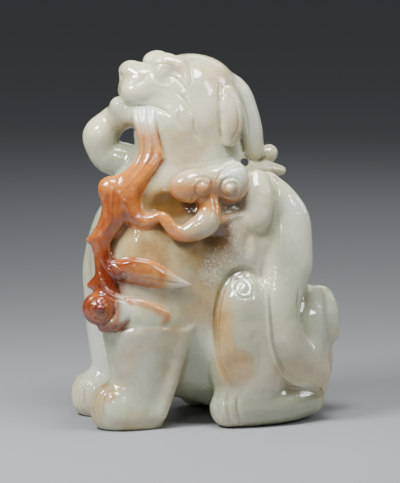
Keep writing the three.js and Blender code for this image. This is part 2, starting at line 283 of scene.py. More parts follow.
def mirrored(lump):
    """The same lump on the far flank."""
    flip = np.array([1.0, -1.0, 1.0])
    low = lump.low * flip
    high = lump.high * flip
    balls = [(place * flip, radii, turn) for place, radii, turn in lump.balls]
    return Lump(lambda p: lump(p * flip), np.minimum(low, high), np.maximum(low, high), balls, lump.reach)


def both(lump):
    """A lump written for the near flank, on both flanks."""
    far = mirrored(lump)
    low = np.minimum(lump.low, far.low)
    high = np.maximum(lump.high, far.high)
    return Lump(lambda p: lump(near_side(p)), low, high, lump.balls + far.balls, lump.reach)


def near_side(points):
    return np.stack([points[:, 0], -np.abs(points[:, 1]), points[:, 2]], 1)


# %% [markdown]
# ## The body
# Chest, belly, withers and rump are four big eggs that melt over 7 mm, with the neck rising out of them.
# The belly hangs low between the legs but stays off the table, so light passes under it. The near
# foreleg is a slab whose top was ground flat: the fungus stands on that ledge.

# %% Trunk and legs
LEDGE = 26.2  # top of the near foreleg
FOREPAW_OUT = 10.7  # middle of the body to the middle of a forepaw
HAUNCH_OUT = 15.2  # the same for a haunch
BAND_OUT = 20.0  # and for the widest place of the band down the flank

SOFT = 25.0  # lumps that melt very softly are felt from this far
mass = partial(ball, reach=SOFT)
masses = melt(
    7,
    mass([-13, 0, 40], [17.8, 17.5, 22]),  # chest
    mass([-2, 0, 28], [18, 17, 21.5]),  # belly
    mass([7, 0, 46], [16.8, 15.5, 17.5]),  # withers
    mass([12.5, 0, 20], [20, 19, 21]),  # rump
    limb([-1, 0, 54, 16], [-3, 0, 66, 12.5], [-4.5, 0, 76, 12], reach=SOFT),  # neck
    limb([-11.6, -2, 76.2, 6.2], [-13.8, -3, 68.1, 6.1], [-18.1, -4, 59.3, 8.9], reach=SOFT),  # throat
)
underbelly = limb([-11.9, 0, 16.2, 9.9], [-1.9, 0, 15.5, 9.7], [11.7, 0, 14.4, 9.4], thick=1.25, reach=SOFT)
shoulder = mass([-17, -9.5, 38], [13.8, 8, 14])
breast = mass([-20.5, -7.5, 44], [9, 8.5, 15])

near_leg = limb(
    [-18.5, -11.5, 31.5, 13.4],
    [-18.5, -11.3, 23.9, 11.8],
    [-19.2, -FOREPAW_OUT, 14.8, 9.4],
    [-20.5, -FOREPAW_OUT, 5.8, 7.2],
    [-21.6, -FOREPAW_OUT, -0.7, 5.9],
    thick=0.68,
)
leg_corner = limb(
    [-11.2, -16.4, 27, 1.7], [-12.2, -16.4, 19, 1.7], [-14, -15.6, 11, 1.7], [-16.2, -14.4, 4, 1.7]
)
above_ledge = Lump(lambda points: LEDGE - points[:, 2], [-99, -99, LEDGE], [99, 99, 199], reach=999)
near_leg = cut(0.9, melt(2.2, near_leg, leg_corner), above_ledge)
DAB_OVER_LEDGE = 6  # balls that would stand further above the ledge aren't used to block it in
near_leg.balls = [b for b in near_leg.balls if b[0][2] + b[1][2] < LEDGE + DAB_OVER_LEDGE]
on_ledge = ball([-18.6, -11.4, 27.6], [10.4, 8.3, 8])  # the stone that the lower leaf lies on
far_leg = mirrored(
    limb(
        [-17.6, -9, 36.5, 11.5],
        [-18.2, -10.5, 29, 12],
        [-18.7, -11.3, 22.7, 10.7],
        [-19.5, -FOREPAW_OUT, 14.9, 8.9],
        [-20.5, -FOREPAW_OUT, 5.8, 7.2],
        [-21.6, -FOREPAW_OUT, -0.7, 5.9],
        thick=0.68,
    )
)
forepaw = melt(
    1.5,
    ball([-27.4, -FOREPAW_OUT, 5.6], [6.4, 6.4, 6.4]),
    ball([-24.5, -FOREPAW_OUT, 3.6], [8.4, 6.6, 5.2]),
)
haunch = ball([6.8, -HAUNCH_OUT, 20], [10.4, 7.2, 19])
knee = ball([5, 0.7 - HAUNCH_OUT, 31.2], [6.6, 6.6, 7])
foot = limb([1.4, -16.3, 4.9, 4.9], [7, -16.3, 4.8, 4.8], [17, -14.3, 4.9, 4.7], [24, -10, 5.6, 4.8])
buttock = limb([30.9, 2, 21.3, 3.1], [32, 2, 13.3, 2.9], [29.8, 0, 7, 3.1])

# %% [markdown]
# ## Mane and tail
# Behind the shoulder hangs a smooth flap. A plume lies over the withers and runs on as a broad band
# down the flank to the heel. The tail is a fat hook that curls over behind the rump.

# %% Mane and tail
flap = limb([10, -12.4, 62.2, 3.6], [9.6, -15, 58, 4.2], [9, -16, 54.2, 3.8], thick=0.55)
behind_flap = limb([12.8, -11.4, 61.5, 3.2], [13.8, -13, 55, 3.4], [12.6, -14.2, 47, 3.2], thick=0.6)
elbow = melt(1, ball([7.4, -15, 45.4], [1.8, 2.2, 4.4]), ball([8.8, -12.6, 42], [4.2, 4, 9]))
rough_patch = ball([2.8, -12.2, 49.6], [4, 4.2, 6.4])
ribbon = limb(
    [13.4, -9.6, 61.6, 3.4],
    [16.4, -11.8, 57.6, 4.4],
    [18.6, -13.2, 52.6, 5.2],
    [17.9, -14.4, 46.4, 6.3],
    [17.5, -15.3, 41.4, 6.5],
    [16, -17, 36, 5.5],
    [14.9, 1.3 - BAND_OUT, 31, 4.8],
    [14.9, 0.8 - BAND_OUT, 27, 4.7],
    [16, 0.9 - BAND_OUT, 21.5, 5.4],
    [19.2, -16.8, 15.6, 5.8],
    [23.2, -13.4, 13.2, 4.8],
    thick=0.46,
)
band_foot = limb([23, -14.4, 24, 1.6], [24, -15, 18.5, 3], [25, -13.4, 13, 3.8], thick=0.6)
tail = melt(
    0.6,
    limb([25.6, -10.6, 14, 2.9], [25.2, -12.2, 21.6, 3.1], [25.5, -10.8, 28.4, 3], [27.4, -6.4, 31.4, 2.7]),
    limb([28, -2, 30, 3.1], [30.4, -2, 30.7, 3.1], [31.7, -3, 26.8, 3.25], [32, -3, 21.5, 3.05], thick=1.2),
)

# %% [markdown]
# ## The head
# It is raised, with a blunt muzzle and a rolled upper lip. The brows stand proud and sweep back in
# tapering tails. The ears lie flat, and a single lock runs down the nape to a bead and a tie.

# %% Head
skull = melt(
    5,
    mass([-3.8, 0, 81.6], [12.3, 12, 12.4]),  # braincase
    mass([-5.6, 0, 88.3], [10.2, 8.2, 5.4]),  # crown
    mass([-9.4, 0, 77], [9, 9.8, 8.4]),  # jaw
    mass([-16.3, 0, 87], [7, 6.6, 5.8]),  # muzzle
)
blunt = melt(
    1.4,
    skull,
    ball([-20.2, 0, 90.7], [3.2, 4.1, 3]),  # nose
    both(ball([-18.4, -3.3, 90.1], [2.1, 1.9, 1.8])),  # nostril wings
    both(ball([-12.2, -4.5, 93], [3.7, 3.2, 2.75])),  # brows
    ball([-19.8, -3.5, 85.7], [4, 3.6, 3.7]),  # near lip
    ball([-18.9, 3.2, 85.7], [3.9, 3.5, 3.6]),  # far lip
)
brow_tail = limb(
    [-12.3, -5.2, 93.5, 1.8],
    [-9.2, -6.5, 92.5, 2],
    [-7.6, -8.3, 89.5, 1.3],
    [-8.3, -10, 86.1, 0.7],
)
eye = ball([-13.3, -5.8, 90.8], [2.4, 2, 2.3])
face = melt(0.8, blunt, both(brow_tail), both(eye))
ear = limb(
    [2.6, -11, 85.9, 1.8],
    [3.1, -12, 81.9, 2.9],
    [3.3, -12.2, 77.8, 3],
    [3, -11.4, 74.1, 2.2],
    thick=0.45,
)
lock = limb(
    [-0.6, 0, 88.7, 3.7],
    [4.5, 0, 87.3, 3.4],
    [8, 0, 84.7, 3.4],
    [10.2, 0, 79.7, 3.3],
    [11.6, 0, 75, 3.1],
    [12.6, 0, 69.7, 2.6],
    thick=1.4,
)
bead = ball([16.7, 0, 68.8], [2.3, 2.6, 2.3])
tie = limb([11.8, 0, 65, 2.4], [15.9, 0, 64.7, 2.4], [20, 0, 64.2, 1.2], thick=1.6)

# %% [markdown]
# ## The fungus
# The beast bites the stem crosswise. One end loops out of the far side of its mouth. The other hangs
# down the near side as three strands, joins in a knot, and then branches: a twig crosses the chest and
# ends in a double cap, and the main branch runs down to two leaves and a scroll on the ledge.

# %% Stem and branches
loop = melt(
    2,
    limb(
        [-18.6, -3, 80.1, 3.4],
        [-21.1, 2, 79.7, 3.8],
        [-24.4, 5, 77.2, 3.8],
        [-26.9, 5.5, 73.6, 4.3],
        [-25.5, 5, 68.9, 4.2],
        [-21.7, 4, 67.6, 4.7],
        [-17.4, 2, 66.1, 5],
    ),
    ball([-26.9, 5.5, 73.8], [4.3, 4.3, 4.3]),
    ball([-23.2, 0.6, 81.9], [2.5, 2.6, 2.5]),
)
strands = [
    limb(
        [-20.9, -7.3, 80.9, 0.75],
        [-21, -8.7, 79, 0.85],
        [-20.5, -9.6, 76.6, 0.9],
        [-20, -10.4, 72.9, 0.95],
        [-20.2, -10.9, 70.4, 1],
        [-21.6, -11.2, 67.9, 1.15],
        [-24.6, -11.6, 64.9, 1.4],
        [-28.3, -11.8, 62.3, 2.3],
    ),
    limb(
        [-18.8, -7.6, 81.2, 0.75],
        [-19, -8.9, 79, 0.85],
        [-18.7, -9.7, 76.6, 0.9],
        [-18.2, -10.6, 72.8, 0.95],
        [-18.4, -11.2, 70.3, 1.05],
        [-19.8, -11.6, 67.9, 1.25],
        [-22.7, -12.1, 64.9, 1.6],
        [-25.9, -12.5, 61.8, 2.2],
    ),
    limb(
        [-16.6, -7.7, 81.1, 0.75],
        [-16.9, -8.9, 79, 0.85],
        [-16.9, -9.6, 76.5, 0.9],
        [-16.3, -10.2, 72.7, 1],
        [-16, -10.6, 70.6, 1.1],
        [-17.1, -11.2, 68.3, 1.3],
        [-19.4, -11.9, 66.1, 1.6],
        [-22, -12.3, 63.5, 2.2],
        [-24, -12.5, 60.5, 2.6],
    ),
]
spur = limb([-15.9, -10.6, 70.6, 1.1], [-14.7, -11, 69.6, 0.5])
stem = melt(0.8, *strands, spur, ball([-18.6, -6.2, 80], [3.1, 2, 2]))
branch = limb(
    [-28.6, -11.8, 61.9, 3.3],
    [-27.2, -12.2, 58.6, 3.9],
    [-27.8, -12.6, 55.4, 3.5],
    [-29.7, -12.7, 52, 2.8],
    [-31.3, -12.7, 49.2, 2.6],
    [-31.1, -13, 45.6, 2.2],
    [-30.7, -13.5, 41.6, 2.4],
    [-30.4, -14.1, 38, 2.8],
    [-30.2, -14.7, 34.6, 2.9],
    thick=0.9,
)
knobs = [
    limb([-31.6, -12.5, 49.3, 2.2], [-34.3, -12, 49.1, 0.8]),
    limb([-32, -13, 37.9, 2.2], [-34.2, -12.5, 37.6, 0.8]),
]
twig = limb(
    [-25, -12.6, 58.6, 3.4],
    [-23.2, -13.6, 55.2, 2.4],
    [-20.6, -14.6, 53.6, 1.7],
    [-18.3, -15.5, 54.3, 1.5],
    [-16.5, -16.4, 55, 1.4],
    [-14.9, -17.2, 53.4, 1.7],
    [-13.2, -17.8, 51.4, 1.9],
    [-10.7, -18.4, 50.8, 2.2],
    [-7.8, -18.7, 51.9, 3],
    [-5.2, -18.6, 53.5, 3.4],
    [-4.2, -17.8, 55.8, 3],
    [-4.4, -17, 58.6, 2.7],
    thick=0.85,
)
tendril = limb([-3.2, -18.1, 53.6, 1.5], [0.2, -17, 54, 0.9], [4.2, -16, 54.6, 0.5])

# %% Cap, scroll and leaves
cap_left = ball([-8.3, -16.9, 62.7], [6.1, 3.7, 4.3], turn=-8)
cap_right = ball([2.3, -16.1, 63.5], [4.5, 3.6, 5.3])
cap = melt(1.2, cap_left, cap_right, ball([-2.4, -15.8, 63.4], [5, 3, 4.2]))
cap_bosses = [ball([-6.5, -20.1, 62.4], [1.3, 1, 1.3]), ball([0.9, -19.2, 61.9], [1.2, 1, 1.2])]
scroll_disc = ball([-32.6, -15, 31.9], [4.15, 3.6, 4.3])
scroll_lobe = limb(
    [-30, -15.8, 35, 1.5],
    [-27.5, -16.9, 33.5, 1.8],
    [-26.9, -17.3, 30.7, 1.9],
    [-28.4, -16.9, 28.2, 1.9],
    [-31.4, -16, 27.5, 1.7],
    thick=0.8,
)
scroll_boss = ball([-32.9, -18.1, 32.3], [1.3, 1.4, 1.3])
upper_leaf = limb(
    [-28.2, -14.8, 41.6, 2.3],
    [-24, -17, 41.5, 3.1],
    [-20, -18.2, 40.7, 3.2],
    [-16, -18.8, 39.2, 2.3],
    [-12.6, -19, 38.3, 1.2],
    [-9.7, -19, 37.6, 0.4],
    thick=0.5,
)
lower_leaf = limb(
    [-26.6, -16, 32.2, 2.3],
    [-23.2, -17.8, 31, 3.2],
    [-19.8, -18.7, 30, 3],
    [-17.7, -19, 29.6, 2],
    thick=0.45,
)
leaf_rim = limb(
    [-25.8, -16.9, 33.8, 0.6],
    [-22.2, -18.4, 33.3, 0.8],
    [-19, -19, 32.1, 0.9],
    [-16.7, -19.2, 30.8, 0.9],
    [-16.1, -19.1, 29.6, 0.7],
    [-17.2, -19, 28.6, 0.5],
)
skinned = melt(1, stem, branch, *knobs, twig, cap, scroll_disc, upper_leaf)
bosses = [*cap_bosses, scroll_boss]
fungus = melt(0.8, skinned, melt(1.6, lower_leaf, leaf_rim), scroll_lobe, tendril, loop)

# %% [markdown]
# ## Putting the lumps together
# The order is the carver's: big masses first, melted softly, then smaller ones with tighter joints.
# Three hollows are ground out round the cap and the twig, and an arch under the belly. The mouth is cut
# before the stem goes through it, so its line runs out from behind the strands.
#
# A line is pencilled as a few points seen from the side or the front, and dropped onto the stone. A
# groove is a thin rope sunk into the surface and cut away. A ridge is one that stands out of it.

# %% Wheel-cut lines
OUTSIDE = 1  # a groove's rope reaches in from outside
INSIDE = -1  # a ridge's reaches out from inside
START = {"y": -30.0, "x": -45.0}  # where pencilled points start, well off the stone
PER_SPAN = 4  # steps from one pencilled point to the next
MOST_STEPS = 70
CLOSE = 0.004  # a dropped point has arrived when it is this near
PROBE = 0.12  # the slope is felt this far to either side
MISSED = 0.1  # points that ended further from the stone than this are left out


def dropped(stone, pencilled, along="y"):
    """Drops pencilled points onto the stone and gives the places and the stone's slope there. The
    points are [x, z] seen from the near flank (along y) or [y, z] seen from the front (along x)."""
    count = (len(pencilled) - 1) * PER_SPAN
    flat = smooth_path([[a, 0.0, z] for a, z in pencilled], count)
    spots = flat.copy() if along == "y" else np.stack([flat[:, 1], flat[:, 0], flat[:, 2]], 1)
    axis = 1 if along == "y" else 0
    spots[:, axis] = START[along]
    for _ in range(MOST_STEPS):
        gap = np.broadcast_to(stone(spots), len(spots))
        spots[:, axis] += np.clip(0.6 * gap, -0.5, 4.0)
        if np.abs(gap).max() < CLOSE:
            break
    slope = np.stack([stone(spots + way) - stone(spots - way) for way in PROBE * np.eye(3)], 1)
    slope /= np.linalg.norm(slope, axis=1)[:, None] + 1e-9
    on_stone = np.abs(stone(spots)) < MISSED
    return spots[on_stone], slope[on_stone]


def fading(count):
    """Full strength along the middle of a line, less at its two ends, where the wheel lifts off."""
    steps = np.minimum(np.arange(count), np.arange(count)[::-1])
    return np.clip(0.35 + 0.65 * steps / max(1.0, 0.22 * count), 0.0, 1.0)


def rope(stone, width, bite, side, pencilled, along):
    """A thin rope of this width along a line, which reaches bite through the stone's surface."""
    spots, slope = dropped(stone, pencilled, along)
    fade = fading(len(spots))
    radii = width / 2 * fade
    centres = spots + slope * (side * (radii - bite * fade))[:, None]
    return limb(*np.c_[centres, radii], steps=1, reach=3.0)


def groove(stone, width, depth, *pencilled, along="y"):
    """The path of a wheel that cuts a line of this width and depth into the stone."""
    return rope(stone, width, depth, OUTSIDE, pencilled, along)


def ridge(stone, width, height, *pencilled):
    """A thin raised line, standing height out of the stone."""
    return rope(stone, width, height, INSIDE, pencilled, "y")


def coil(centre, outer, inner, start, turns):
    """A coil of [x, z] points that starts at an angle in degrees and winds inwards, clockwise."""
    count = round(abs(turns) * 9)
    points = []
    for i in range(count + 1):
        angle = math.radians(start - 360 * turns * i / count)
        radius = outer + (inner - outer) * i / count
        points.append([centre[0] + radius * math.cos(angle), centre[1] + radius * math.sin(angle)])
    return points


# %% Assembly
trunk = melt(3, melt(4, masses, underbelly), both(shoulder), both(breast), far_leg)
legged = melt(1.6, melt(2.5, trunk, on_ledge, rough_patch), near_leg, both(knee), both(haunch))
padded = melt(2.4, legged, both(forepaw), both(behind_flap))
pawed = melt(1, padded, both(flap), both(elbow), buttock)
footed = melt(2.4, pawed, both(foot))
maned = melt(0.8, footed, melt(4, both(ribbon), both(band_foot)))
maned = melt(2.6, maned, tail)
pocket = ball([-14.6, -18.8, 58.2], [7.6, 5.5, 4.4], turn=-10)
pit = ball([-2.8, -20, 49.4], [3.8, 4, 3.6])
nook = ball([3.2, -18.2, 57.6], [2.4, 2.6, 1.8])
NAPE = ([6, -15, 68.4], [14, 15, 64.5])  # daylight between the neck, the lock and the tie
nape = limb([*NAPE[0], 1.1], [*NAPE[1], 1.1])
arch = ball([-6, 0, -20], [22, 8, 25.4])  # daylight under the belly
nostrils = both(ball([-23.5, -1.3, 89.9], [1.1, 0.8, 0.7]))
hollowed = cut(1.5, melt(3.5, maned, face), pocket, pit, nook, arch)
hollowed = cut(0.5, hollowed, nostrils)
MOUTH_LINE = [[-22.6, 83.3], [-20, 82.6], [-16.9, 82.3], [-14.5, 81.6], [-12.9, 80.2]]
mouth = groove(hollowed, 1.1, 0.45, *MOUTH_LINE)
bitten = cut(0.3, hollowed, both(mouth))
plain = melt(0.7, bitten, both(ear), lock, bead, tie, fungus)
print("plain figure blocked in with", len(plain.balls), "balls")

# %% Engraving
engrave = partial(groove, plain)
emboss = partial(ridge, plain)
face_lines = [
    engrave(1.0, 0.3, [-22.4, 88.2], [-20.7, 88.3], [-18.6, 89.1], [-17.1, 90.8]),  # above the lip
    engrave(0.9, 0.45, [-10.6, 85.9], [-9.1, 84.4], [-8.2, 82.6], [-7.9, 80.6]),  # cheek
    engrave(0.9, 0.4, [-12, 90.1], [-10.1, 89.1], [-8.9, 87.4], [-8.3, 85.1]),  # under the brow's tail
    engrave(0.8, 0.35, [-8, 94.6], [-7.2, 93.9], [-6.7, 92.3], [-6.6, 89.6], [-7.7, 87.1]),  # over it
    engrave(0.7, 0.14, [-16.4, 90.6], [-15, 88.7], [-12.6, 88.3], [-10.9, 89.6]),  # lower lid
    engrave(0.7, 0.2, [-16.6, 92], [-14.6, 93.1], [-12.2, 93], [-10.8, 91.6]),  # upper lid
    engrave(1.1, 0.6, [0.5, 87.9], [0.1, 83.9], [-0.1, 79.4], [0.3, 75.5], [1.5, 72.6]),  # ear's front
    engrave(0.8, 0.35, [2.3, 85.5], [3.9, 83.2], [4.7, 79.9], [4.5, 76.3], [3.1, 73.9]),  # ear's rim
    engrave(0.9, 0.4, [-10.8, 81.1], [-10.7, 78.9], [-9.5, 76.3]),  # tufts on the jaw
    engrave(0.9, 0.4, [-6.9, 79.6], [-6.6, 76.5], [-5, 73.9]),
]
hair_lines = [
    engrave(0.7, 0.3, [3.8, 89.7], [6.9, 85.4], [9, 80.1], [10.3, 73.2]),
    engrave(0.7, 0.3, [7.1, 89.3], [9.2, 85.3], [11.1, 80], [12.3, 72.7]),
]
flank_lines = [
    engrave(
        2.0, 0.7,
        [1.3, 10.8], [-1.5, 16], [-2.5, 21.8], [-2.3, 28.2], [-1.2, 34], [1, 38.6], [4.4, 40.7], [8, 39.8],
        [9.4, 36.8],
    ),  # thigh
    engrave(0.8, 0.2, *coil([4.3, 36.4], 3.0, 0.7, 60, 1.9)),  # its spiral
    engrave(
        1.0, 0.3,
        [12.3, 44.5], [11.6, 36], [11.4, 28], [12, 21.2], [14.2, 16], [17.9, 12.4], [22.6, 10.6],
    ),  # rim of the band
    engrave(0.8, 0.4, [14.6, 58.6], [14.6, 54.5], [14.6, 50.5], [14.9, 46.5]),  # along the plume
    engrave(1.0, 0.4, [19.2, 35.8], [18.7, 31.5], [19, 27.5], [20, 24.4]),  # before the tail
    engrave(1.1, 0.5, [-1.6, 9.5], [-2.7, 6.3], [-1.6, 1.9]),  # hind toes
    engrave(1.1, 0.55, [0.3, 9.7], [-0.3, 6], [1, 1.4]),
    engrave(1.1, 0.5, [2.5, 8.6], [2.4, 5.2], [3.6, 1]),
]
TOE_LINE = [[0.8, 10.8], [1.05, 6.5], [1, 1.6]]  # how far a line spreads at three heights
TOE_LINES = [(-4.7, 1.1), (-3.2, 0.6), (-1.6, 1.1), (0, 0.6), (1.6, 1.1), (3.2, 0.6), (4.7, 1.1)]
toe_lines = [
    engrave(wide, wide / 2, *[[across * side - FOREPAW_OUT, up] for side, up in TOE_LINE], along="x")
    for across, wide in TOE_LINES
]
fungus_lines = [
    engrave(1.4, 1.2, [-30.8, 45], [-29, 42.8], [-27.2, 41.1], [-25, 39.9]),  # slit of the upper leaf
    engrave(0.8, 0.45, [-32.4, 43.8], [-32.5, 39.2], [-31.3, 36.5], [-29.1, 34.7], [-26.3, 33.9]),  # branch
    engrave(0.7, 0.2, [-24.1, 40.3], [-19.2, 39.4], [-14.7, 38.5], [-11.4, 37.8]),  # midrib
    engrave(1.1, 0.8, *coil([-32.8, 32.2], 2.4, 2.2, 30, 1.05)),  # the scroll's turn
    engrave(0.9, 0.5, [-28.8, 35.8], [-26, 34.6], [-24.9, 32.2], [-25, 29.6], [-26.4, 27.4]),  # its lobe
    engrave(0.8, 0.45, *coil([-6.5, 62.4], 3.2, 1.7, 160, 1.2)),  # the cap's two coils
    engrave(0.8, 0.45, *coil([0.9, 62], 3.0, 1.6, 20, -1.2)),
    engrave(0.8, 0.4, [-2.6, 64.2], [-0.6, 66.8], [3.2, 68.3]),  # folds on top of the cap
    engrave(0.8, 0.4, [-1.2, 65.2], [0.9, 66.8], [4.4, 67.4]),
    engrave(0.7, 0.35, [-8.6, 61.2], [-9.1, 59.6], [-9.2, 58.8]),  # under its left half
    engrave(0.7, 0.35, [-7.3, 60.2], [-7.5, 58.9], [-7.4, 58.2]),
]
veins = [
    emboss(
        1.0, 0.35,
        [11.1, 44.5], [10.6, 36], [10.4, 28], [11, 21], [13.3, 15.3], [17.2, 11.4], [22, 9.4],
    ),  # rim of the band
    emboss(
        0.5, 0.2,
        [-21.3, 80], [-20.8, 76.8], [-20.3, 73], [-20.6, 70.4], [-22, 68], [-24.9, 65], [-28, 62.6],
    ),  # crests of the three strands
    emboss(
        0.5, 0.2,
        [-19.1, 80], [-18.8, 76.8], [-18.3, 72.8], [-18.5, 70.4], [-20, 68], [-22.9, 65], [-25.4, 62.6],
    ),
    emboss(0.5, 0.2, [-16.9, 80], [-16.9, 76.5], [-16.3, 72.7], [-15.7, 70.8], [-14.9, 69.9]),
    emboss(0.8, 0.35, *coil([-32.8, 32.2], 3.25, 3.25, 200, 0.9)),  # rim of the scroll
    emboss(1.3, 0.4, [-28.9, 62.6], [-29.3, 58.3], [-29.6, 54.5], [-31.2, 51.5], [-33.4, 49.8]),  # branch
    emboss(1.2, 0.35, [-27.5, 61.5], [-25.7, 58.2], [-24.2, 55.6], [-21.8, 54]),  # twig
    emboss(1.1, 0.35, [-32.4, 48.6], [-31.7, 44.6], [-30.3, 41.9], [-28.1, 39.7], [-25.4, 38.3]),
    emboss(1.1, 0.35, [-32.6, 43.9], [-32.2, 39.8], [-31.1, 36.7], [-29, 34.9]),
    emboss(0.9, 0.3, [-27.4, 43.3], [-23.4, 44], [-19.8, 43.2]),  # upper edge of the leaf
]
on_both_flanks = [both(line) for line in face_lines + flank_lines + toe_lines]
engraved = cut(0.25, plain, nape, *on_both_flanks, *hair_lines, *fungus_lines)
raised = melt(0.3, engraved, *bosses, *veins)
table = Lump(lambda points: points[:, 2], [-99, -99, -99], [99, 99, 0], reach=999)
beast = cut(0.5, raised, table)

# %% [markdown]
# ## Blocking in, remeshing and polishing
# Now Blender makes the stone. Every ball of every lump is added as a real sphere at its place and size,
# like dabs of clay, and they are joined in one mesh. A voxel remesh fuses them into one skin. Sliding
# can't open a hole, so the one at the nape is drilled through now. Each vertex then slides along the
# distance's slope until it lies on the melted surface. A finer remesh and a second slide bring out the
# wheel's lines, and a Decimate modifier thins out the faces where the surface is calm, because a piece
# should stay under 200,000 triangles.

# %% Block in
COARSE_VOXEL = 0.5 * MM
FINE_VOXEL = 0.27 * MM
FACES_KEPT = 196000  # all of them triangles

bpy.ops.object.select_all(action="DESELECT")
bpy.ops.mesh.primitive_ico_sphere_add(subdivisions=3, radius=MM)
dab = bpy.context.object
dab_points = np.array([vertex.co for vertex in dab.data.vertices])
dab_faces = np.array([face.vertices for face in dab.data.polygons])
bpy.ops.object.delete()

corners, faces = [], []
for place, radii, turn in beast.balls:
    axes = np.array(Euler((0.0, math.radians(turn), 0.0)).to_matrix())
    faces.append(dab_faces + len(dab_points) * len(corners))
    corners.append((dab_points * radii) @ axes.T + np.array(place) * MM)
clay = bpy.data.meshes.new("jade_carving")
clay.from_pydata(np.vstack(corners).tolist(), [], np.vstack(faces).tolist())
carving = bpy.data.objects.new("jade_carving", clay)
bpy.context.scene.collection.objects.link(carving)
carving.select_set(True)
bpy.context.view_layer.objects.active = carving
print("dabs joined:", len(beast.balls), "faces:", len(clay.polygons))

# %% Helpers that remesh and slide
CORNERS = np.array([[1, 1, 1], [1, -1, -1], [-1, 1, -1], [-1, -1, 1]]) / math.sqrt(3)
SHARE = 3 / 4  # the squares of the four corners' ways add up to 4/3 along each axis
BLOCK = 12.0  # the points are felt in blocks of this size, side by side on all the processor's cores
ROW = 100  # more blocks than the figure is high
LONGEST_STEP = 0.8  # the most distance that one step counts
LEAST_STEEP = 0.25  # keeps a slight slope from flinging a vertex away


def felt(stone, points, probe):
    """The stone's distance and slope at the points, felt at four corners round each."""
    distance = np.empty(len(points))
    slope = np.empty((len(points), 3))

    def feel(block):
        corners = (points[block] + probe * CORNERS[:, None]).reshape(-1, 3)
        values = np.broadcast_to(stone(corners), len(corners)).reshape(4, -1)
        distance[block] = values.mean(0)
        slope[block] = values.T @ CORNERS * SHARE / probe

    keys = np.floor(points[:, 0] / BLOCK) * ROW + np.floor(points[:, 2] / BLOCK)
    order = np.argsort(keys, kind="stable")
    blocks = np.split(order, np.flatnonzero(np.diff(keys[order])) + 1)
    with ThreadPoolExecutor() as pool:
        list(pool.map(feel, blocks))
    return distance, slope


def vectors(thing, what):
    """A row for each vertex: its place, called co, or its normal."""
    values = np.empty(len(thing.data.vertices) * 3)
    thing.data.vertices.foreach_get(what, values)
    return values.reshape(-1, 3)


def slide(thing, stone, steps, probe=0.05):
    """Moves a mesh's vertices along the slope until they lie on the stone's surface."""
    points = vectors(thing, "co") / MM
    for _ in range(steps):
        distance, slope = felt(stone, points, probe)
        steep = np.maximum((slope**2).sum(1), LEAST_STEEP)
        points -= slope * (np.clip(distance, -LONGEST_STEP, LONGEST_STEP) / steep)[:, None]
    thing.data.vertices.foreach_set("co", (points * MM).ravel())
    thing.data.update()
    return np.abs(distance)


def remesh(thing, voxel):
    thing.data.remesh_voxel_size = voxel
    thing.data.remesh_voxel_adaptivity = 0.0
    bpy.ops.object.voxel_remesh()
    print("remeshed:", len(thing.data.polygons), "faces")


remesh(carving, COARSE_VOXEL)

# %% Drill the daylight at the nape
DRILL_RADIUS = 0.9
DRILL_LONG = 40.0
drill_start, drill_end = Vector(NAPE[0]), Vector(NAPE[1])

bpy.ops.object.select_all(action="DESELECT")
bpy.ops.mesh.primitive_cylinder_add(vertices=16, radius=DRILL_RADIUS * MM, depth=DRILL_LONG * MM)
drill = bpy.context.object
drill.location = (drill_start + drill_end) / 2 * MM
drill.rotation_euler = (drill_end - drill_start).to_track_quat("Z", "Y").to_euler()
bpy.context.view_layer.objects.active = carving
bpy.ops.object.modifier_add(type="BOOLEAN")
through = carving.modifiers[-1]
through.object = drill
through.operation = "DIFFERENCE"
through.solver = "MANIFOLD"
bpy.ops.object.modifier_apply(modifier=through.name)
bpy.data.objects.remove(drill)
carving.select_set(True)
print("drilled:", len(carving.data.polygons), "faces")

# %% Slide the skin onto the melted surface
slide(carving, beast, 7)
remesh(carving, FINE_VOXEL)
left = slide(carving, beast, 2)
print("left off the surface, mm: mean %.4f, worst %.2f" % (left.mean(), left.max()))

# %% Thin out the calm places
bpy.ops.object.modifier_add(type="DECIMATE")
thin = carving.modifiers[-1]
thin.ratio = FACES_KEPT / (2 * len(carving.data.polygons))  # each of its squares is two triangles
bpy.ops.object.modifier_apply(modifier=thin.name)
slide(carving, beast, 2)
bpy.ops.object.shade_smooth()
print("kept:", len(carving.data.polygons), "faces")

# %% [markdown]
# ## Where the stone changes colour
# The pebble is pale celadon inside. Its weathered skin is russet, and the carver kept it on the fungus
# alone, so it follows that form. Iron stains have crept in along the chest, the leg and the haunch.
# The hollows were never polished clean and stay brown. Such zones are facts about places on the stone.
# Two more zones are partly painted light and shade: a greyer tone that is also painted shade on the
# belly, the feet, the thigh, the loop and the plume, and white patches that include painted light. All
# are worked out once for each vertex from its place and kept as named attributes. The material then
# frays their edges with noise, because a stain in stone never ends in a clean line.

# %% Zones
NEAR, FAR, BOTH = -1, 1, 0


def step(values, start, end):
    """0 up to start and 1 from end on, with a soft step between them."""
    t = np.clip((values - start) / (end - start), 0.0, 1.0)
    return t * t * (3 - 2 * t)


def stain(x, z, wide, high, strength=1.0, flank=NEAR):
    """A soft oval of this half width and height round a place on a flank."""
    away = np.hypot((skin[:, 0] - x) / wide, (skin[:, 2] - z) / high)
    on_flank = 1.0 if flank == BOTH else step(flank * skin[:, 1], -3, 4)
    return strength * on_flank * (1 - step(away, 0.3, 1.15))


def together(*stains):
    """Stains that overlap soak in deeper, but never past the full colour."""
    return 1 - np.prod(1 - np.array(stains), axis=0)


def keep(name, values):
    """Stores one number for each vertex under a name that the material can read."""
    carving.data.attributes.new(name, "FLOAT", "POINT").data.foreach_set("value", np.clip(values, 0, 1))
    print("%-8s covers %.0f%% of the skin" % (name, 100 * values.mean()))


skin = vectors(carving, "co") / MM
x, y, z = skin.T
outward = vectors(carving, "normal")

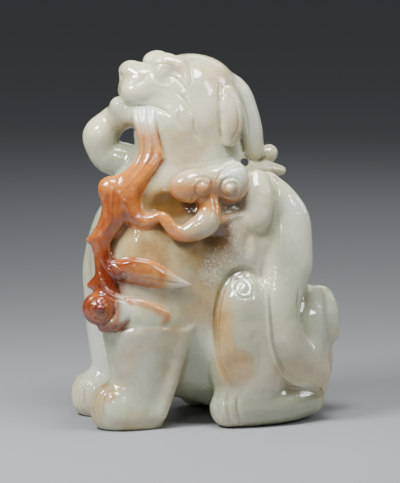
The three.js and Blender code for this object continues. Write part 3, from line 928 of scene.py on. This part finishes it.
# %% Russet skin and dark red heart of the fungus
on_fungus = 1 - step(melt(1, skinned, *bosses)(skin), 0.35, 1.0)
DEEP = 1.6  # a crest is a place where the stone is thinner than this under the skin
worn = step(1 + beast(skin - DEEP * outward) / DEEP, 0.2, 0.75)
russet = on_fungus * (1 - step(z, 74, 80.5))  # the stem turns white where it enters the mouth
on_cap = step(x, -15.5, -13.5) * step(z, 57.5, 59)
russet *= 1 - on_cap * (0.34 + 0.42 * step(z, 61.5, 66.5) + 0.28 * step(x, -4, 0.5) * step(z, 58.5, 62.5))
russet *= 1 - 0.75 * stain(-6.4, 52.8, 7.2, 5.4)  # the bulb at the twig's end
russet *= 1 - 0.25 * stain(-13.4, 52.6, 3.4, 3)
russet *= 1 - step(x, -17.6, -14.2) * (1 - step(z, 43, 46)) * step(z, 35.5, 36.5)  # tip of the upper leaf
russet *= 1 - 0.32 * stain(-20.5, 40.6, 7.5, 4.5)
russet *= 1 - worn * (0.15 + 0.2 * step(z, 61, 66) * step(-x, 12, 15))  # polished through on the crests
russet = np.maximum(russet, stain(-28.6, 38.2, 4.6, 4.6, 0.75) * step(-y, 9, 12))
in_lobe = 1 - step(scroll_lobe(skin), 0.1, 0.8)
lobe_skin = np.maximum(0.85 * (1 - step(z, 27.8, 30.2)), 0.75 * (1 - step(x, -28.6, -26.4)))
russet = np.maximum(russet, in_lobe * lobe_skin)
russet = np.maximum(russet, 0.62 * (1 - step(leaf_rim(skin), 0.3, 1.0)))
russet = np.maximum(russet, 0.5 * (1 - step(tendril(skin), 0.1, 0.6)) * (1 - step(x, -1, 4)))
keep("russet", russet)

# from amber in the thin strands to dark red at the scroll
ripe = 0.16 + 0.3 * step(-z, -67, -59) * step(-x, 18, 26) + 0.24 * step(-z, -50, -40) * step(-x, 24, 29)
ripe += (
    0.14 * stain(-30.6, 41, 2.4, 9)  # branch beside the leaves
    + 0.6 * stain(-33.1, 32.4, 1.7, 1.7)  # heart of the scroll
    - 0.22 * stain(-32.8, 32, 5, 5)  # the rest of it
    + 0.4 * stain(-27.2, 40.4, 2.8, 1.7)  # slit of the upper leaf
)
ripe += 0.1 * stain(-30.2, 55, 1.6, 6) + 0.18 * stain(-20, 40, 7, 4.5)
keep("ripe", ripe)

# %% Iron stains, brown hollows, white and unpolished places, painted light and painted shade
honey = together(
    stain(-21.3, 90.2, 4.4, 4.6, 0.3, BOTH),  # nose
    stain(-9, 92.2, 6.5, 4.4, 0.4, BOTH),  # brow and crown
    stain(1, 90, 7.5, 6.6, 0.42, BOTH),  # back of the skull
    stain(4, 77, 4.4, 8.5, 0.4, BOTH),  # ear
    stain(-22.6, 76.8, 5.4, 3.4, 0.4, BOTH),  # under the loop
    stain(-10, 72, 10, 8.5, 0.42),  # throat
    stain(-14, 58.5, 13, 8, 0.7),  # chest below the stem
    stain(-16, 47, 17, 12, 0.5),  # the whole chest
    stain(-20, 40.6, 7, 4, 0.9),  # upper leaf, under its skin
    stain(-21.5, 48.5, 9, 8.5, 0.8),  # between the branches
    stain(-5, 45.5, 8, 5.5, 0.75),  # below the pit
    stain(-12.5, 36, 17, 13, 0.45),  # above the ledge
    stain(-4, 32, 6.5, 9, 0.55),  # between the foreleg and the haunch
    stain(-5, 62, 10, 5, 0.55),  # cap
    stain(1.8, 49.6, 8.5, 9.5, 0.4),  # round the pit
    stain(0.4, 51.6, 1.8, 4, 0.7),  # beside the pit
    stain(-9, 30, 4, 4, 0.35),  # behind the ledge
    stain(-26, 17.6, 3.6, 9, 0.36),  # inner edge of the near foreleg
    stain(-21.5, 16, 6.5, 11, 0.34),
    stain(-30.6, 10.2, 4.4, 3.4, 0.7),  # its paw
    stain(-33, 5.4, 2.6, 5.4, 0.6),
    stain(-24, 2, 9.5, 4, 0.5),
    stain(-18, 24, 11, 5, 0.3),  # below the ledge
    stain(-13.5, 14, 6, 15, 0.36),  # back edge of the near foreleg
    stain(-0.6, 22.6, 3.4, 14, 0.75),  # haunch
    stain(2.8, 15.8, 6, 6.6, 0.75),
    stain(18, 14, 10.5, 7, 0.42),  # foot of the band
    stain(27.5, 9.5, 5, 6.5, 0.45),
    stain(32, 22.4, 3.4, 4, 0.35, BOTH),  # tip of the tail
    stain(-14, 50, 9, 12, 0.35, FAR),  # chest, haunch and neck
    stain(6, 22, 7, 9, 0.35, FAR),
    stain(4, 64, 7, 6, 0.25, FAR),
)
keep("honey", honey)

AROUND = 2.2  # a place is sheltered if stone is nearer than this to a point this far out
sheltered = 1 - np.clip(beast(skin + AROUND * outward) / AROUND, 0, 1)
brown = stain(-11.8, 57.6, 6.5, 5, 1) + stain(-17.6, 58.8, 6, 4.6, 0.7)  # pocket
brown = brown + stain(-2.2, 49.6, 5.4, 5.6, 1)  # pit
brown = brown * (1 - on_fungus) + 0.75 * stain(2.4, 57.2, 4.6, 3) * (1 - on_fungus)
on_ledge_edge = 1 - step(np.abs(z - LEDGE - 0.4), 0.2, 0.9)
brown += 0.5 * on_ledge_edge * step(-y, 14, 17) * step(-x, 8, 11)
brown += 0.35 * stain(2.6, 39.8, 5.5, 2.2)  # round the top of the thigh
seams = step(sheltered, 0.25, 0.75) * (0.25 + 0.75 * honey)
keep("hollow", np.maximum(brown, 0.7 * seams * (1 - on_fungus)))

frost = together(
    stain(2.4, 51, 4.6, 7),
    stain(-3.4, 40.4, 4, 5.4),
    stain(3.4, 43.8, 6.6, 3.6),
    stain(-1.6, 44.6, 4.6, 4),
)
keep("frost", frost * (1 - on_fungus) * (1 - 0.8 * np.clip(brown, 0, 1)))

# White patches of the stone, and painted light: the near foreleg is made paler in place of more light on
# it, and the scroll's lobe carries a painted highlight.
white_stone_and_painted_light = np.maximum.reduce([
    step(y, -2, 8) * stain(-24, 20, 12, 22, 0.9, BOTH),  # far foreleg
    stain(22, 50, 9, 18, 0.6, BOTH),  # back
    stain(10.5, 80, 5.5, 14, 0.8, BOTH),  # lock
    stain(-22, 18, 6.5, 15, 0.6),  # near foreleg, made paler as painted light
    stain(30, 26, 8, 10, 0.5, BOTH),  # tail
    stain(-18.5, 80.5, 4, 3.6, 0.9),  # top of the stem
    stain(-13, 38.2, 3.6, 2.4, 0.9),  # tip of the upper leaf
    stain(-26.6, 31.4, 2.8, 3.2, 0.7),  # lobe of the scroll, pale stone with a painted highlight
    stain(3, 66, 5, 3.2, 0.8),  # top of the cap
])
keep("white_stone_and_painted_light", white_stone_and_painted_light)

# Partly a greyer tone of the stone and partly painted shade: colour made darker low down on the belly, the
# feet and the thigh, and on the loop, the plume and the top of the thigh, where the lamps light them
# strongly.
grey_and_painted_shade = together(
    stain(4.5, 25, 9, 14, 0.75, BOTH),  # thigh
    stain(14, 5, 18, 7, 0.9, BOTH),  # feet
    stain(-6, 12, 12, 12, 0.9, BOTH),  # belly
    stain(16, 24, 7, 16, 0.4, BOTH),  # band
    stain(27, 28, 6, 14, 0.5, BOTH),  # tail
    stain(-6, 38, 9, 16, 0.5),  # chest
    stain(4, 37, 6, 5.5, 0.7, BOTH),  # top of the thigh
    stain(16.5, 49, 7, 15, 0.8, BOTH),  # plume
    stain(-23.5, 70.5, 9, 9, 0.95, BOTH),  # loop
)
keep("grey_and_painted_shade", grey_and_painted_shade)

carving.data.transform(Matrix.Translation((CENTRING, 0, 0)))
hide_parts("jade_beast")
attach(carving, "root")

# %% [markdown]
# ## The jade
# Nephrite is a felt of tiny fibres, so light goes a few millimetres in and comes out soft, while the
# polished face still mirrors the lamps. The shader has both: subsurface scattering, and the sharp
# reflection that goes with the stone's high refractive index. Colour is laid on in this order: pale
# body with drifting clouds, a greyer tone with painted shade, white patches with painted light, white
# wisps, iron stains, brown hollows, russet skin, and white flecks that are painted glints. Every
# zone's edge goes through one small group that frays it with noise.

# %% Node helpers


def node(tree, kind, settings=(), **inputs):
    """Adds a node; inputs are numbers, colours or other nodes' outputs."""
    made = tree.nodes.new(kind)
    for name, value in dict(settings).items():
        setattr(made, name, value)
    for name, value in inputs.items():
        plug(tree, made.inputs[name.replace("_", " ")], value)
    return made


def plug(tree, socket, value):
    if isinstance(value, bpy.types.NodeSocket):
        tree.links.new(value, socket)
    else:
        socket.default_value = value


def blend(tree, amount, under, over):
    """Lays one colour over another."""
    mix = node(tree, "ShaderNodeMix", {"data_type": "RGBA"})
    for place, value in ((0, amount), (6, under), (7, over)):
        plug(tree, mix.inputs[place], value)
    return mix.outputs[2]


def calc(tree, operation, a, b):
    maths = node(tree, "ShaderNodeMath", {"operation": operation})
    plug(tree, maths.inputs[0], a)
    plug(tree, maths.inputs[1], b)
    return maths.outputs[0]


def spread(tree, value, low, high, to_low=0.0, to_high=1.0):
    """Spreads the part of a value between low and high out softly over another range."""
    smooth = {"interpolation_type": "SMOOTHSTEP"}
    ranged = node(tree, "ShaderNodeMapRange", smooth, From_Min=low, From_Max=high, Value=value)
    ranged.inputs["To Min"].default_value = to_low
    ranged.inputs["To Max"].default_value = to_high
    return ranged.outputs["Result"]


def cloud(tree, place, scale, detail=4.0, roughness=0.55, distortion=0.0):
    made = node(tree, "ShaderNodeTexNoise", Vector=place, Scale=scale, Detail=detail, Roughness=roughness)
    made.inputs["Distortion"].default_value = distortion
    return made.outputs["Fac"]


def linear(red, green, blue):
    """A colour as it shows on a screen, 0 to 255, made the linear light that a shader takes."""
    return tuple((v / 255) ** 2.2 for v in (red, green, blue)) + (1.0,)


# %% Frayed edge, a group
frayed = bpy.data.node_groups.new("frayed edge", "ShaderNodeTree")
for name, start in (("Zone", 0.0), ("Fray", 0.6), ("Grain", 300.0)):
    socket = frayed.interface.new_socket(name, in_out="INPUT", socket_type="NodeSocketFloat")
    socket.default_value = start
frayed.interface.new_socket("Place", in_out="INPUT", socket_type="NodeSocketVector")
frayed.interface.new_socket("Mask", in_out="OUTPUT", socket_type="NodeSocketFloat")
entry = frayed.nodes.new("NodeGroupInput").outputs
rough_noise = cloud(frayed, entry["Place"], entry["Grain"], 6.0, 0.62, 0.4)
swing = calc(frayed, "MULTIPLY", calc(frayed, "SUBTRACT", rough_noise, 0.5), entry["Fray"])
# where the zone is nothing the noise adds nothing either
held = calc(frayed, "MULTIPLY", swing, spread(frayed, entry["Zone"], 0.0, 0.12))
mask = spread(frayed, calc(frayed, "ADD", entry["Zone"], held), 0.0, 1.0)
frayed.links.new(mask, frayed.nodes.new("NodeGroupOutput").inputs["Mask"])

# %% Jade
CELADON = linear(192, 197, 170)
CREAM = linear(213, 206, 176)
MOSS = linear(160, 163, 126)
PAINTED_SHADE_GREY = linear(136, 143, 120)
WHITE_STONE_AND_PAINTED_LIGHT = linear(214, 220, 208)
MILK = linear(226, 224, 204)
HONEY = linear(184, 152, 98)
OCHRE = linear(150, 112, 56)
UMBER = linear(104, 68, 12)
AMBER = linear(196, 124, 58)
RUSSET = linear(148, 76, 38)
BLOOD = linear(104, 34, 12)
BARK = linear(118, 50, 20)
GLINT = linear(240, 238, 226)
POLISHED_STONE = {
    "IOR": 1.61,  # of nephrite
    "Specular IOR Level": 0.85,
    "Subsurface Weight": 0.55,
    "Subsurface Radius": (1.0, 0.85, 0.55),  # red light travels furthest in the stone
    "Subsurface Scale": 0.0022,
}

jade = bpy.data.materials.new("jade")
jade.use_nodes = True
tree = jade.node_tree
place = node(tree, "ShaderNodeTexCoord").outputs["Object"]


def zone(name, fray, grain):
    """The mask of a zone, its edge frayed by noise of a grain given in waves to the metre."""
    stored = node(tree, "ShaderNodeAttribute", {"attribute_name": name})
    group = node(tree, "ShaderNodeGroup", {"node_tree": frayed}, Fray=fray, Grain=grain, Place=place)
    tree.links.new(stored.outputs["Fac"], group.inputs["Zone"])
    return group.outputs["Mask"]


drift = spread(tree, cloud(tree, place, 45, 3, 0.5, 0.8), 0.38, 0.62)
shade = spread(tree, cloud(tree, place, 85, 4, 0.6, 1.5), 0.45, 0.72)
wisps = spread(tree, cloud(tree, place, 210, 6, 0.7, 2.5), 0.56, 0.74)
iron = blend(tree, spread(tree, cloud(tree, place, 160, 5, 0.6), 0.4, 0.7), HONEY, OCHRE)
unpolished = zone("hollow", 0.6, 420)
LAYERS = [
    (shade, 0.45, MOSS),
    # painted shade over a greyer tone of the stone
    (zone("grey_and_painted_shade", 0.7, 120), 0.7, PAINTED_SHADE_GREY),
    # white patches of the stone, with painted light on the near foreleg and a painted highlight on the
    # scroll's lobe
    (zone("white_stone_and_painted_light", 0.7, 130), 0.85, WHITE_STONE_AND_PAINTED_LIGHT),
    (wisps, 0.4, MILK),
    (zone("honey", 0.8, 170), 0.9, iron),
    (unpolished, 0.9, UMBER),
]
body = blend(tree, drift, CELADON, CREAM)
for mask, strength, colour in LAYERS:
    body = blend(tree, calc(tree, "MULTIPLY", mask, strength), body, colour)
ripeness = zone("ripe", 0.9, 260)
skin_colour = blend(tree, spread(tree, ripeness, 0.05, 0.6), AMBER, RUSSET)
skin_colour = blend(tree, spread(tree, ripeness, 0.6, 1.0), skin_colour, BLOOD)
streaks = spread(tree, cloud(tree, place, 480, 6, 0.7, 1.6), 0.44, 0.72)
skin_colour = blend(tree, calc(tree, "MULTIPLY", streaks, 0.4), skin_colour, BARK)
body = blend(tree, zone("russet", 0.75, 380), body, skin_colour)

frost_mask = zone("frost", 0.6, 500)
sugar = cloud(tree, place, 1900, 2, 0.7)
# painted glints: white flecks on the unpolished patches stand in for the sparkle of light off their grain
glints = spread(tree, sugar, 0.5, 0.66, 0.0, 0.7)
body = blend(tree, calc(tree, "MULTIPLY", glints, frost_mask), body, GLINT)
ripple = cloud(tree, place, 260, 3, 0.6)
height = calc(tree, "ADD", calc(tree, "MULTIPLY", ripple, 0.6), calc(tree, "MULTIPLY", sugar, frost_mask))
bump = node(tree, "ShaderNodeBump", Strength=0.8, Distance=0.0005, Height=height)
gloss = spread(tree, cloud(tree, place, 330, 4, 0.6), 0.35, 0.7, 0.05, 0.13)

bsdf = tree.nodes["Principled BSDF"]
tree.links.new(body, bsdf.inputs["Base Color"])
dull = calc(tree, "ADD", calc(tree, "MULTIPLY", frost_mask, 0.08), calc(tree, "MULTIPLY", unpolished, 0.05))
tree.links.new(calc(tree, "ADD", gloss, dull), bsdf.inputs["Roughness"])
tree.links.new(bump.outputs["Normal"], bsdf.inputs["Normal"])
set_all_over(bsdf, POLISHED_STONE)
carving.data.materials.clear()
carving.data.materials.append(jade)
